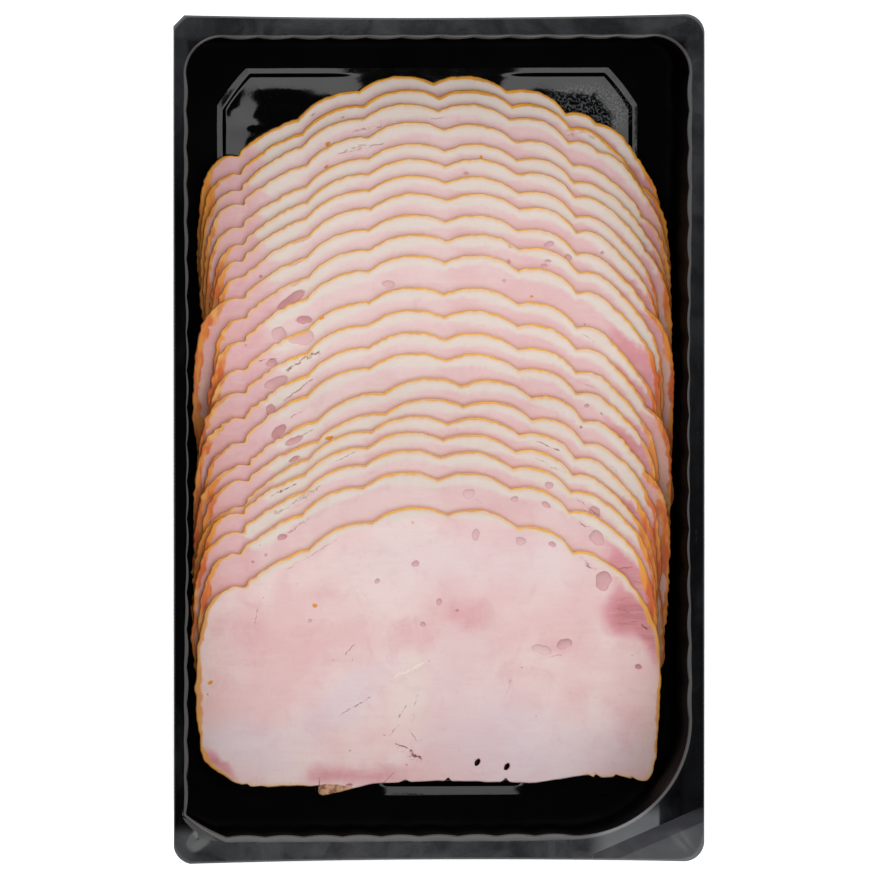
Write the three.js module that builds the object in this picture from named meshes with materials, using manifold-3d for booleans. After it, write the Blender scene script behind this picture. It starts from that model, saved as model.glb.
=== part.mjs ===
// Pack of sliced cooked ham: a black thermoformed tray and twenty-two slices laid in a fan.
// Millimetres, +Z up. The origin is on the ground under the middle of the tray, +Y points to the
// far end, where the first slice lies, and the last slice lies on top at the near end.
import * as THREE from "three";
import { mergeVertices } from "three/addons/utils/BufferGeometryUtils.js";
import Module from "manifold-3d";

const wasm = await Module();
wasm.setup();

// ---- driving dimensions: the tray ----
const SHEET = 0.7; // wall of the formed sheet
const TRAY_HEIGHT = 30;
const FLANGE = { halfWidth: 83.2, halfLength: 132, bow: 1.0 }; // the ends bow in by that much
const FLANGE_CORNERS = [6.4, 6.0, 3.4, 5.2]; // near right, far right, far left, near left
const MOUTH = { halfWidth: 78.7, halfLength: 124.3 }; // the cavity where it meets the flange
const MOUTH_CORNERS = [33, 11, 11, 14]; // the near right one is cut back for the peel corner
const MOUTH_BEVEL = 1.3;
const DRAFT = 0.9; // how far a wall comes in on its way down
const FOOT_RADIUS = 3;
const FLUTE_PITCH = 11.6;
const FLUTE_DEPTH = 0.6;
const PANEL = { halfWidth: 65.1, halfLength: 113, chamferX: 9, chamferY: 11.5, rise: 1.8, bevel: 2 };
const DIMPLE = { radius: 2.6, depth: 1.2, fromSide: 7.6, fromEnd: 7.4 };

// ---- driving dimensions: the slices ----
const SLICE = 1.4; // thickness of a slice
const LAYER = 1.55; // from one slice to the next one up
const CLEARANCE = 0.2; // under the first slice
const FIRST_FAR_EDGE = 111.4;
// One row a slice, from the first up: how much nearer it lies than the one under it, how far its
// crown leans to the right, how far the whole slice lies to the right, how much wider it is than
// the outline, how much fuller its right shoulder is, how far its left side and its right side are
// drawn in, how deep its left and right flanks sink, and how far its near right corner sticks out.
const SLICES = [
  [0, -3, 0.2, 1.01, 5, 1.6, 0, -1.2, -2.6, 0],
  [4.2, -1.5, 0.4, 1.012, 4.5, 1.9, -1, 0.8, 2.4, 0],
  [4.3, -2, 0.1, 1.008, 4.5, 2.1, -1.2, 2.2, -3, 0],
  [5.5, -0.5, 0.5, 1.01, 0.5, 2.6, -1, 0, 0.5, 0],
  [6.7, -0.5, 0.4, 1.014, 4, 3.4, -0.4, 0.6, -0.8, 0],
  [4.7, -1, 0.9, 1.016, 4.5, 4.2, 0, 1.6, 0.9, 0],
  [5, -1, 0.7, 1.02, 2.5, 4.6, 3.6, 1.5, 2.2, 0],
  [5.5, -1, 1, 1.018, 4, 4.6, 4, 1, 3, 0],
  [6.5, -1.5, 0.8, 1.02, 3.5, -0.8, -0.2, 0.7, 2.4, 0.8],
  [6.1, -1.5, 1.1, 1.019, 4.5, 4, 3.4, 0.8, 2.7, 5.4],
  [6.5, -2, 0.9, 1.021, 5, 3.4, 4, 1.7, 2.3, 0],
  [9.8, -2.5, 1.1, 1.017, 3, 2.6, 4.2, 0, 5.1, 0],
  [7, -2.5, 0.8, 1.018, 3.5, 0.4, 0, 0.5, 4.2, 0],
  [6.8, -2.5, 0.9, 1.014, 2.5, -0.8, 3.6, 2.2, 3.2, 2.6],
  [6.4, -2, 0.5, 1.015, 2.5, 1.6, 3.6, 4, 1.8, 0],
  [7.8, 3, 0.6, 1.01, 0, -0.8, -0.4, 3, 2, 0],
  [6.4, 4, 0.1, 1.012, -1.5, 1.4, 2, 0.6, 0.6, 2.8],
  [5.5, -1, 0.3, 1.008, 1, -0.9, 3, 4.5, 2.6, 0],
  [5, -2, -0.2, 1.01, 0.5, 1.2, 2.8, 0, 2.6, 0],
  [5.5, -3, 0, 1.006, 1, -0.8, 2.8, 0.5, 0.4, 0],
  [7, -3.5, -0.3, 1.008, 3, 1.2, 2.6, 0, 0, 0],
  [10.9, 0, -0.4, 1, -1, 0.4, 0.6, -0.8, -0.6, 0],
];
const COUNT = SLICES.length;
// The slice's outline from its near left foot, clockwise: across, along from the crown, and how
// far the stretch that follows swells out. The net that held the ham pressed in at these points.
const OUTLINE = [
  [-51.2, -88.1, 1.6],
  [-63.8, -84.3, 3.0],
  [-71.9, -72.0, 0.8],
  [-73.8, -54.1, 0.8],
  [-71.7, -33.3, 2.3],
  [-59.0, -24.5, 1.3],
  [-39.4, -12.6, 2.2],
  [-19.7, -4.0, 3.2],
  [3.8, -1.8, 3.1],
  [26.0, -5.7, 2.9],
  [43.8, -13.4, 1.1],
  [53.0, -16.3, 1.2],
  [65.5, -28.9, 1.0],
  [72.0, -41.5, 0.6],
  [73.2, -60.4, 0.3],
  [72.5, -82.4, 0.5],
  [69.6, -87.2, 0],
  [61.0, -85.6, 0],
  [52.6, -85.9, 0],
  [51.4, -84.8, 0],
  [34.0, -87.4, 0],
  [5.0, -86.6, 0],
  [-17.0, -87.4, 0],
  [-24.0, -89.2, 0],
  [-32.8, -91.2, 0],
  [-34.2, -90.0, 0],
  [-33.0, -88.0, 0],
];
const SLICE_HALF_WIDTH = 73.5;
const SLICE_LENGTH = 91.6;
const SIDE_FROM = 0.88; // the share of the half width past which a side is drawn in
// Where the left and the right flank sink, as such shares, and where the near right corner begins.
const HIPS = [
  { at: -0.92, spread: 0.16 },
  { at: 0.84, spread: 0.07 },
];
const CORNER_FROM = { share: 0.85, along: -62 };
const CURVE_SEGMENTS = 4;
// Two holes through the last slice, near its near edge, where the tray shows.
const PINHOLES = [
  { across: 15.6, along: -81.2 },
  { across: 24.9, along: -82.6 },
];
const PINHOLE = { halfWidth: 0.9, halfLength: 1.5, turn: -0.55, sides: 8 };
// The slices whose near edges set the slope that all the slices share.
const SLOPE_SLICES = [0, 2, 5, 8, 11, 14, 17, 20, 21];

// ---- solids ----

function toSolid(geometry) {
  const plain = geometry.index ? geometry.toNonIndexed() : geometry;
  const bare = new THREE.BufferGeometry().setAttribute("position", plain.getAttribute("position"));
  const merged = mergeVertices(bare, 1e-4);
  return new wasm.Manifold(
    new wasm.Mesh({
      numProp: 3,
      vertProperties: merged.attributes.position.array,
      triVerts: new Uint32Array(merged.index.array),
    }),
  );
}

function toMesh(name, solid, material) {
  const { numProp, numVert, vertProperties, triVerts } = solid.getMesh();
  const position = new Float32Array(numVert * 3);
  for (let i = 0; i < numVert; i++) {
    position.set(vertProperties.subarray(i * numProp, i * numProp + 3), i * 3);
  }
  const geometry = new THREE.BufferGeometry()
    .setAttribute("position", new THREE.BufferAttribute(position, 3))
    .setIndex(new THREE.BufferAttribute(triVerts, 1));
  geometry.computeVertexNormals();
  const mesh = new THREE.Mesh(geometry, material);
  mesh.name = name;
  return mesh;
}

// A closed solid through rings of equal point counts, listed from the bottom up.
function loft(rings) {
  const count = rings[0].length;
  const position = [];
  const put = (...points) => points.forEach((p) => position.push(p.x, p.y, p.z));
  for (let r = 0; r + 1 < rings.length; r++) {
    for (let i = 0; i < count; i++) {
      const j = (i + 1) % count;
      const [a, b, c, d] = [rings[r][i], rings[r][j], rings[r + 1][j], rings[r + 1][i]];
      put(a, b, c, a, c, d);
    }
  }
  const flat = rings[0].map((p) => new THREE.Vector2(p.x, p.y));
  for (const [a, b, c] of THREE.ShapeUtils.triangulateShape(flat, [])) {
    const [bottom, top] = [rings[0], rings[rings.length - 1]];
    put(bottom[a], bottom[c], bottom[b], top[a], top[b], top[c]);
  }
  const geometry = new THREE.BufferGeometry();
  geometry.setAttribute("position", new THREE.Float32BufferAttribute(position, 3));
  return toSolid(geometry);
}

// ---- tray ----

// One level of the cavity: a rectangle with round corners whose sides are fluted. It starts at
// the near right corner and goes anticlockwise. inset brings every side in.
function flutedRing(z, inset, fluteDepth) {
  const halfWidth = MOUTH.halfWidth - inset;
  const halfLength = MOUTH.halfLength - inset;
  const signs = [
    [1, -1],
    [1, 1],
    [-1, 1],
    [-1, -1],
  ];
  const arcSteps = 5;
  const ring = [];
  signs.forEach(([sx, sy], corner) => {
    const radius = MOUTH_CORNERS[corner] - inset;
    const start = (corner - 1) * (Math.PI / 2);
    for (let i = 0; i <= arcSteps; i++) {
      const angle = start + (i / arcSteps) * (Math.PI / 2);
      const x = sx * (halfWidth - radius) + radius * Math.cos(angle);
      const y = sy * (halfLength - radius) + radius * Math.sin(angle);
      ring.push(new THREE.Vector3(x, y, z));
    }
    // The side that follows this corner, from the end of its arc to the start of the next.
    const next = (corner + 1) % 4;
    const nextRadius = MOUTH_CORNERS[next] - inset;
    const nextStart = start + Math.PI / 2;
    const from = ring[ring.length - 1];
    const to = new THREE.Vector3(
      signs[next][0] * (halfWidth - nextRadius) + nextRadius * Math.cos(nextStart),
      signs[next][1] * (halfLength - nextRadius) + nextRadius * Math.sin(nextStart),
      z,
    );
    const side = corner % 2 ? 2 * MOUTH.halfWidth : 2 * MOUTH.halfLength;
    const straight = side - MOUTH_CORNERS[corner] - MOUTH_CORNERS[next];
    const flutes = Math.round(straight / FLUTE_PITCH);
    const inward = new THREE.Vector3(-Math.cos(nextStart), -Math.sin(nextStart), 0);
    for (let i = 1; i < 3 * flutes; i++) {
      const swell = fluteDepth * Math.sin((Math.PI * (i % 3)) / 3);
      ring.push(from.clone().lerp(to, i / (3 * flutes)).addScaledVector(inward, swell));
    }
  });
  return ring;
}

// The rings of a fluted well from its floor up, grown outwards by the sheet where it is the outside.
function wellRings(floorZ, grow, topZ, bevel) {
  const foot = DRAFT - grow;
  const radius = FOOT_RADIUS + grow;
  const rings = [90, 45, 0].map((degrees) => {
    const angle = THREE.MathUtils.degToRad(degrees);
    const inset = foot + radius * (1 - Math.cos(angle));
    const z = floorZ + radius * (1 - Math.sin(angle));
    return flutedRing(z, inset, degrees === 0 ? FLUTE_DEPTH : 0);
  });
  rings.push(flutedRing(topZ - bevel, -grow, FLUTE_DEPTH));
  if (bevel > 0) {
    rings.push(flutedRing(topZ, -grow - bevel, FLUTE_DEPTH));
    rings.push(flutedRing(topZ + 1, -grow - bevel, FLUTE_DEPTH));
  }
  return rings;
}

function flangeOutline() {
  const { halfWidth: w, halfLength: l, bow } = FLANGE;
  const [nearRight, farRight, farLeft, nearLeft] = FLANGE_CORNERS;
  const shape = new THREE.Shape();
  shape.moveTo(w, -l + nearRight);
  shape.lineTo(w, l - farRight);
  shape.absarc(w - farRight, l - farRight, farRight, 0, Math.PI / 2);
  shape.quadraticCurveTo(0, l - 2 * bow, -w + farLeft, l);
  shape.lineTo(-w, l - farLeft);
  shape.lineTo(-w, -l + nearLeft);
  shape.absarc(-w + nearLeft, -l + nearLeft, nearLeft, Math.PI, 1.5 * Math.PI);
  shape.quadraticCurveTo(0, -l + 2 * bow, w - nearRight, -l);
  shape.absarc(w - nearRight, -l + nearRight, nearRight, 1.5 * Math.PI, 2 * Math.PI);
  return shape;
}

// The raised middle of the floor: a long octagon with bevelled sides.
function panelSolid(z, inset) {
  const ring = (height, shrink) => {
    const w = PANEL.halfWidth - shrink;
    const l = PANEL.halfLength - shrink;
    const across = w - PANEL.chamferX;
    const along = l - PANEL.chamferY;
    const corners = [
      [w, -along],
      [w, along],
      [across, l],
      [-across, l],
      [-w, along],
      [-w, -along],
      [-across, -l],
      [across, -l],
    ];
    return corners.map(([x, y]) => new THREE.Vector3(x, y, height));
  };
  return loft([ring(z, inset), ring(z + PANEL.rise, inset + PANEL.bevel)]);
}

function dimpleSolid(x, y, radius, topZ, bottomZ) {
  const geometry = new THREE.CylinderGeometry(radius, radius * 0.6, topZ - bottomZ, 12);
  geometry.rotateX(Math.PI / 2);
  geometry.translate(x, y, (topZ + bottomZ) / 2);
  return toSolid(geometry);
}

function makeTray() {
  const flangeBottom = TRAY_HEIGHT - SHEET;
  const flange = new THREE.ExtrudeGeometry(flangeOutline(), {
    depth: SHEET,
    bevelEnabled: false,
    curveSegments: 6,
  });
  flange.translate(0, 0, flangeBottom);
  const outside = loft(wellRings(0, SHEET, TRAY_HEIGHT - SHEET / 2, 0));
  const inside = loft(wellRings(SHEET, 0, TRAY_HEIGHT, MOUTH_BEVEL));
  let tray = toSolid(flange).add(outside).subtract(inside);
  tray = tray.add(panelSolid(SHEET - 0.01, 0)).subtract(panelSolid(-0.01, SHEET));
  const dimpleY = -FLANGE.halfLength + DIMPLE.fromEnd;
  for (const side of [-1, 1]) {
    const x = side * (FLANGE.halfWidth - DIMPLE.fromSide);
    const bottom = TRAY_HEIGHT - DIMPLE.depth;
    tray = tray
      .add(dimpleSolid(x, dimpleY, DIMPLE.radius + SHEET, TRAY_HEIGHT - SHEET / 2, bottom - SHEET))
      .subtract(dimpleSolid(x, dimpleY, DIMPLE.radius, TRAY_HEIGHT + 0.01, bottom));
  }
  return tray;
}

// ---- slices ----

const farEdges = [];
for (const [nearer] of SLICES) {
  const under = farEdges.length ? farEdges[farEdges.length - 1] : FIRST_FAR_EDGE;
  farEdges.push(under - nearer);
}

// How many slices end before y is reached, as a smooth count. Every slice follows this slope.
const slopeKnots = SLOPE_SLICES.map((k) => ({ y: farEdges[k] - SLICE_LENGTH, ended: k }));
function endedBy(y) {
  if (y >= slopeKnots[0].y) return 0;
  const i = Math.max(1, slopeKnots.findIndex((knot) => knot.y <= y));
  const [before, after] = [slopeKnots[i - 1], slopeKnots[i]];
  return before.ended + ((before.y - y) / (before.y - after.y)) * (after.ended - before.ended);
}
// Lifts the fan so that the slices between the knots stay clear of the tray too.
const lift = Math.max(...farEdges.map((y, k) => LAYER * (endedBy(y - SLICE_LENGTH) - k)));
const bedZ = SHEET + PANEL.rise + CLEARANCE + lift;

// The folded sheet that slice k lies in, seen from the side and drawn out over the whole width.
function foldedSheet(k) {
  const bottom = (y) => bedZ + LAYER * (k - endedBy(y));
  const last = slopeKnots[slopeKnots.length - 1];
  const beyond = FLANGE.halfLength;
  const endSlope = (LAYER * (last.ended - slopeKnots[slopeKnots.length - 2].ended)) /
    (slopeKnots[slopeKnots.length - 2].y - last.y);
  const profile = [[beyond, bottom(beyond)]];
  slopeKnots.forEach((knot) => profile.push([knot.y, bottom(knot.y)]));
  profile.push([-beyond, bottom(last.y) - 0.2 * endSlope * (last.y + beyond)]);
  const upper = profile.map(([y, z]) => [y, z + SLICE]).reverse();
  const shape = new THREE.Shape([...profile, ...upper].map(([y, z]) => new THREE.Vector2(y, z)));
  const geometry = new THREE.ExtrudeGeometry(shape, { depth: 2 * FLANGE.halfWidth, bevelEnabled: false });
  // The profile was drawn in x and y and pulled along z: turn it so that they are y, z and x.
  const turned = new THREE.Matrix4();
  turned.set(0, 0, 1, -FLANGE.halfWidth, 1, 0, 0, 0, 0, 1, 0, 0, 0, 0, 0, 1);
  geometry.applyMatrix4(turned);
  return toSolid(geometry);
}

function sliceShape(k) {
  const [, lean, aside, wider, shoulder, leftIn, rightIn, leftHip, rightHip, cornerOut] = SLICES[k];
  const place = ([across, along]) => {
    const share = across / SLICE_HALF_WIDTH;
    const far = Math.max(0, 1 + along / SLICE_LENGTH);
    const drawnIn = THREE.MathUtils.smoothstep(Math.abs(share), SIDE_FROM, 1);
    const inward = share < 0 ? leftIn * drawnIn : -rightIn * drawnIn;
    const nearCorner = THREE.MathUtils.smoothstep(CORNER_FROM.along - along, 0, 20);
    const outward = cornerOut * nearCorner * THREE.MathUtils.smoothstep(share, CORNER_FROM.share, 0.95);
    const leaning = lean * far * Math.max(0, 1 - share * share);
    const x = aside + across * wider + inward + outward + leaning;
    const fuller = shoulder * far * Math.max(0, share) * Math.max(0, 1 - share ** 4);
    const onFlank = THREE.MathUtils.smoothstep(far, 0.1, 0.6);
    const [atLeft, atRight] = HIPS.map(({ at, spread }) => Math.exp(-(((share - at) / spread) ** 2)));
    const sunk = onFlank * (leftHip * atLeft + rightHip * atRight);
    const y = farEdges[k] + along + fuller - sunk;
    return new THREE.Vector2(x, y);
  };
  const shape = new THREE.Shape();
  const start = place(OUTLINE[0]);
  shape.moveTo(start.x, start.y);
  OUTLINE.forEach((corner, i) => {
    const next = OUTLINE[(i + 1) % OUTLINE.length];
    const end = place(next);
    const swell = corner[2];
    if (swell === 0) {
      shape.lineTo(end.x, end.y);
      return;
    }
    const [dx, dy] = [next[0] - corner[0], next[1] - corner[1]];
    const reach = (2 * swell) / Math.hypot(dx, dy);
    const bend = place([(corner[0] + next[0]) / 2 - dy * reach, (corner[1] + next[1]) / 2 + dx * reach]);
    shape.quadraticCurveTo(bend.x, bend.y, end.x, end.y);
  });
  return { shape, place };
}

function makeSlice(k) {
  const { shape, place } = sliceShape(k);
  if (k === COUNT - 1) {
    for (const { across, along } of PINHOLES) {
      const centre = place([across, along]);
      const hole = new THREE.Path();
      const { halfWidth, halfLength, turn } = PINHOLE;
      hole.absellipse(centre.x, centre.y, halfWidth, halfLength, 0, 2 * Math.PI, false, turn);
      const rim = hole.getPoints(PINHOLE.sides).slice(0, PINHOLE.sides);
      shape.holes.push(new THREE.Path(rim));
    }
  }
  const cutter = new THREE.ExtrudeGeometry(shape, {
    depth: 2 * TRAY_HEIGHT,
    bevelEnabled: false,
    curveSegments: CURVE_SEGMENTS,
  });
  cutter.translate(0, 0, -TRAY_HEIGHT);
  return foldedSheet(k).intersect(toSolid(cutter));
}

// ---- the pack ----

const plastic = new THREE.MeshStandardMaterial({ color: 0x121315, roughness: 0.3, metalness: 0 });
const meat = new THREE.MeshStandardMaterial({ color: 0xe2bdb8, roughness: 0.45, metalness: 0 });

const pack = new THREE.Group();
pack.add(toMesh("tray", makeTray(), plastic));
for (let k = 0; k < COUNT; k++) {
  const number = String(k + 1).padStart(2, "0");
  pack.add(toMesh(`slice_${number}`, makeSlice(k), meat));
}

export default pack;
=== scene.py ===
import math

import bpy
import numpy as np
from mathutils import Matrix, Vector


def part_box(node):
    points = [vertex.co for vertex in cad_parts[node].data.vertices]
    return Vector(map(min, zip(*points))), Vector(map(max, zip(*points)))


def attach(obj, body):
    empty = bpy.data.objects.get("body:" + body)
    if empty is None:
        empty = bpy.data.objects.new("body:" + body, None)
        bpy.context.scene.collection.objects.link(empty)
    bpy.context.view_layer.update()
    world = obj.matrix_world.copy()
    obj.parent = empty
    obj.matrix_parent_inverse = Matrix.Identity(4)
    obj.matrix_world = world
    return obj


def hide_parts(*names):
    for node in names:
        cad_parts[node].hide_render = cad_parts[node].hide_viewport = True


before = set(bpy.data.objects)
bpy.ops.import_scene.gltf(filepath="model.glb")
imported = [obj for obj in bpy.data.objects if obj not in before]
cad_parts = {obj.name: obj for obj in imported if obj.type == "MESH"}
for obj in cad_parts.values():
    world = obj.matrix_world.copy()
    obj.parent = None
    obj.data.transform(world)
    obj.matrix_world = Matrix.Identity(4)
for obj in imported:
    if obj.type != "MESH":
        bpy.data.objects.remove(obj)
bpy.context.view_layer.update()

# ---- The tray ------------------------------------------------------------
# One sheet of black plastic, formed hot into a deep well with a flat rim. The walls are fluted
# all round, the floor has a raised octagonal panel, and the rim's near corners have a dimple
# each. The near right corner of the well is cut back for peeling.

MM = 0.001  # the numbers for the tray and the slices are in mm and degrees
SHEET = 0.7
MOUTH_HALF = np.array([78.7, 124.3])
# Corners are given as near right, far right, far left, near left: how much is cut off each, and
# whether the cut is an arc, 1, or straight, 0.
MOUTH_CORNERS = np.array([[36, 36], [11, 11], [11, 11], [12.5, 7]])
MOUTH_ROUNDNESS = [1, 1, 1, 0.2]
RIM_CORNERS = np.array([6.4, 6.0, 3.4, 5.2])
RIM_ROUNDNESS = [1, 1, 0, 0.75]
RIM_BOW = 1
RIM_WAVE = 0.05
RIM_EDGE_DROP = 0.22
# How far the rim's outer edge droops: at least, more at the two ends, and unevenly.
DROOP, END_DROOP, UNEVEN_DROOP = 0.06, 0.22, 0.1
SAG_AT = (-75, -121)  # the rim's near left corner hangs lower
SAG_DEPTH = 0.5
SAG_RADIUS = 9
# The radius between rim and wall: at least, more towards both ends, and more at the near end.
LIP_RADIUS, END_LIP, NEAR_LIP = 0.3, 0.7, 0.8
DRAFT = 0.9
FOOT_RADIUS = 3
FLUTE_PITCH = 11.6
FLUTE_DEPTH = 0.6
MOUTH_OFFSET = np.array([-0.4, 0.6])  # off the tray's middle, less so further down
SKEW = 0.0045  # how much the tray leans sideways over its length
PANEL_HALF = np.array([66, 113.5])
PANEL_AHEAD = 0.5
PANEL_CUT = np.array([9, 11.5])
PANEL_ROUNDNESS = [0.12] * 4
PANEL_RISE = 1.8
PANEL_INSETS = [0, 0.2, 0.5, 1, 1.5, 1.9, 2.3, 2.7, 3, 3.5, 4, 4.5, 5, 6, 7, 8, 9, 10, 11.5, 13,
                15, 17, 19, 21, 23]
# The panel's edge seen from the side, as insets from its outline and shares of its height: a
# narrow bevel, a crease and a broader facet where it is crisp, and one long slope elsewhere.
CRISP_EDGE = [(0, 0), (1.9, 0.15), (2.7, 0.5), (7, 0.84), (9.5, 1), (24, 1)]
NEAR_EDGE = [(0, 0), (3, 0.23), (4.5, 1), (24, 1)]
SOFT_EDGE = [(0, 0), (22, 0.98), (24, 1)]
# Where the edge is crisp: place and half widths. The last place has the near edge's form.
CRISP_AT = [(-50, 104, 30, 24), (52, 104, 30, 28), (8, -113, 25, 9)]
# Dents in the panel: place, half widths and depth.
DENTS = [(-56, 95.3, 8, 2.2, -0.4), (-46, 104, 9, 2.6, 0.3), (-59, 102, 4, 3, 0.35),
         (34, 103, 9, 3, 0.25)]
# The panel's oval of frost, lightened as a painted sheen of reflected light as well.
FROST_SHEEN_AT, FROST_SHEEN_HALF = (50, 101), (19, 11)
DIMPLE_RADIUS = 2.9
DIMPLE_DEPTH = 1.2
DIMPLE_INSET = np.array([7.6, 7.4])
CORNER_STEPS = 24
FLUTE_STEPS = 12

tray_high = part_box("tray")[1]
RIM_HALF = np.array([tray_high.x, tray_high.y]) / MM
RIM_TOP = tray_high.z / MM
CORNER_SIGNS = np.array([[1, -1], [1, 1], [-1, 1], [-1, -1]])

side_lengths = []
for corner in range(4):
    axis = 1 - corner % 2
    cut_off = MOUTH_CORNERS[corner, axis] + MOUTH_CORNERS[(corner + 1) % 4, axis]
    side_lengths.append(2 * MOUTH_HALF[axis] - cut_off)
flutes_on_side = [round(length / FLUTE_PITCH) for length in side_lengths]


def tray_outline(half, cuts, roundness=(1, 1, 1, 1), flute=0.0, bow=0.0):
    """One level of the tray, anticlockwise from its near right corner, with as many points at
    every level: a rectangle whose corners are cut by cuts, straight or round."""
    cuts = np.array([np.broadcast_to(cut, 2) for cut in cuts], float)
    points = []
    for corner, sign in enumerate(CORNER_SIGNS):
        start_angle = (corner - 1) * math.pi / 2
        share = np.linspace(0, 1, CORNER_STEPS + 1)[:, None]
        angle = start_angle + share[:, 0] * math.pi / 2
        direction = np.stack([np.cos(angle), np.sin(angle)], 1)
        arc = sign * (half - cuts[corner]) + cuts[corner] * direction
        straight = arc[0] + (arc[-1] - arc[0]) * share
        rounded = straight + (arc - straight) * roundness[corner]
        points.append(rounded)

        following = (corner + 1) % 4
        end = CORNER_SIGNS[following] * (half - cuts[following])
        end = end + cuts[following] * direction[-1]
        steps = flutes_on_side[corner] * FLUTE_STEPS
        along = np.arange(1, steps) / steps
        swell = flute * np.abs(np.sin(np.arange(1, steps) * math.pi / FLUTE_STEPS))
        if corner % 2:
            swell = swell + bow * 4 * along * (1 - along)
        side = rounded[-1] + (end - rounded[-1]) * along[:, None]
        points.append(side - direction[-1] * swell[:, None])
    return np.concatenate(points)


def at_height(outline, z):
    """An outline's points in space, all at height z or each at its own."""
    return np.column_stack([outline, np.broadcast_to(z, len(outline))])


def mouth_outline(inset, flute, moved=1.0):
    outline = tray_outline(MOUTH_HALF - inset, MOUTH_CORNERS - inset, MOUTH_ROUNDNESS, flute)
    return outline + MOUTH_OFFSET * moved


def panel_outline(inset):
    outline = tray_outline(PANEL_HALF - inset, [PANEL_CUT - 0.4 * inset] * 4, PANEL_ROUNDNESS)
    return outline + (0, PANEL_AHEAD)


def smooth_step(low, high, value):
    share = np.clip((value - low) / (high - low), 0, 1)
    return share * share * (3 - 2 * share)


def well_levels(grow, floor_z):
    """The fluted well from the rim's edge down to the floor. grow is 0 for the inside and the
    sheet's thickness for the outside."""
    levels = []
    top_z = RIM_TOP - grow
    mouth_x, mouth_y = mouth_outline(0, 0).T
    near = smooth_step(-112, -123, mouth_y) * smooth_step(60, 20, mouth_x)
    to_end = smooth_step(25, 80, np.abs(mouth_y))
    radius = LIP_RADIUS + END_LIP * to_end + NEAR_LIP * near + 0.3 * grow
    for turn in np.radians([0, 18, 36, 54, 72, 90]):
        outline = mouth_outline(-grow, FLUTE_DEPTH * math.sin(turn))
        outward = mouth_outline(-grow - 1, 0) - mouth_outline(-grow, 0)
        outward /= np.linalg.norm(outward, axis=1)[:, None]
        outline = outline + outward * (radius * (1 - math.sin(turn)))[:, None]
        levels.append(at_height(outline, top_z - radius * (1 - math.cos(turn))))
    wall_bottom = floor_z + FOOT_RADIUS + grow
    wall_top = top_z - radius
    for share in np.linspace(0, 1, 9)[1:-1]:
        outline = mouth_outline(DRAFT * share - grow, FLUTE_DEPTH, 1 - share)
        levels.append(at_height(outline, wall_top + (wall_bottom - wall_top) * share))
    foot = FOOT_RADIUS + grow
    for turn in np.radians([0, 15, 30, 45, 60, 75, 90]):
        inset = DRAFT - grow + foot * (1 - math.cos(turn))
        outline = mouth_outline(inset, FLUTE_DEPTH * math.cos(turn) ** 2, 0)
        levels.append(at_height(outline, wall_bottom - foot * math.sin(turn)))
    return levels


def floor_levels(foot_level, lowered, floor_z):
    """The floor from the foot of the wall up onto the raised panel and in to its middle."""
    edge = panel_outline(lowered)
    edge_x, edge_y = edge.T
    crispness = []
    for x, y, half_width, half_length in CRISP_AT:
        away = np.maximum(np.abs(edge_x - x) / half_width, np.abs(edge_y - y) / half_length)
        crispness.append(smooth_step(1, 0.5, away))
    crisp, near_crisp = crispness[0] + crispness[1], smooth_step(0, 0.4, crispness[2])
    levels = []
    for share in (0.25, 0.5, 0.75, 0.92):
        between = foot_level[:, :2] * (1 - share) + edge * share
        levels.append(at_height(between, floor_z))
    for inset in PANEL_INSETS:
        outline = panel_outline(lowered + inset)
        here_x, here_y = outline.T
        far_share, near_share, soft = [
            np.interp(inset, *np.transpose(form)) for form in (CRISP_EDGE, NEAR_EDGE, SOFT_EDGE)
        ]
        soft = soft * (1 - 0.5 * smooth_step(-70, -95, here_y))  # flatter at the near end
        share = soft + (far_share - soft) * crisp + (near_share - soft) * near_crisp
        rise = PANEL_RISE * share
        for x, y, half_width, half_length, depth in DENTS:
            away = ((here_x - x) / half_width) ** 2 + ((here_y - y) / half_length) ** 2
            rise = rise - depth * np.exp(-away) * min(1, inset / 4)
        levels.append(at_height(outline, floor_z + rise))
    inner = panel_outline(lowered + PANEL_INSETS[-1])
    for share in (0.1, 0.3, 0.6, 0.9):
        levels.append(at_height(inner * (1 - share), floor_z + PANEL_RISE))
    return levels


def rim_levels(well_edge, z, sheet_side):
    """The flat rim, from its outer edge in to the edge of the well. The thin sheet is never
    quite flat, so it waves and droops a little. sheet_side is 1 on top, where the outer edge
    rounds down, and below 0 underneath, where it rounds up."""
    outer = tray_outline(RIM_HALF, RIM_CORNERS, RIM_ROUNDNESS, bow=RIM_BOW)
    levels = []
    for share in (0.0, 0.05, 0.12, 0.3, 0.5, 0.7, 0.85, 0.95):
        outline = outer * (1 - share) + well_edge[:, :2] * share
        wave = np.sin(outline[:, 0] * 0.095 + 1.3) * np.sin(outline[:, 1] * 0.071 + 0.4)
        edge_drop = RIM_EDGE_DROP * (1 - share / 0.05) if share < 0.05 else 0
        at_end = smooth_step(0.9, 1, np.abs(outline[:, 1]) / RIM_HALF[1])
        uneven = np.sin(outline[:, 0] * 0.06 + outline[:, 1] * 0.023)
        droop = (DROOP + END_DROOP * at_end + UNEVEN_DROOP * uneven) * (1 - share)
        height = z - droop + RIM_WAVE * wave * math.sin(math.pi * share) - edge_drop * sheet_side
        levels.append(at_height(outline, height))
    for level in levels:
        away = np.linalg.norm(level[:, :2] - SAG_AT, axis=1)
        level[:, 2] -= SAG_DEPTH * smooth_step(1, 0, away / SAG_RADIUS)
    for side in (-1, 1):
        centre = np.array([side, -1]) * (RIM_HALF - DIMPLE_INSET)
        for level in levels:
            away = np.linalg.norm(level[:, :2] - centre, axis=1)
            level[:, 2] -= DIMPLE_DEPTH * smooth_step(1, 0.1, away / DIMPLE_RADIUS)
    return levels


def new_object(name, data):
    made = bpy.data.objects.new(name, data)
    bpy.context.scene.collection.objects.link(made)
    return made


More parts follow.
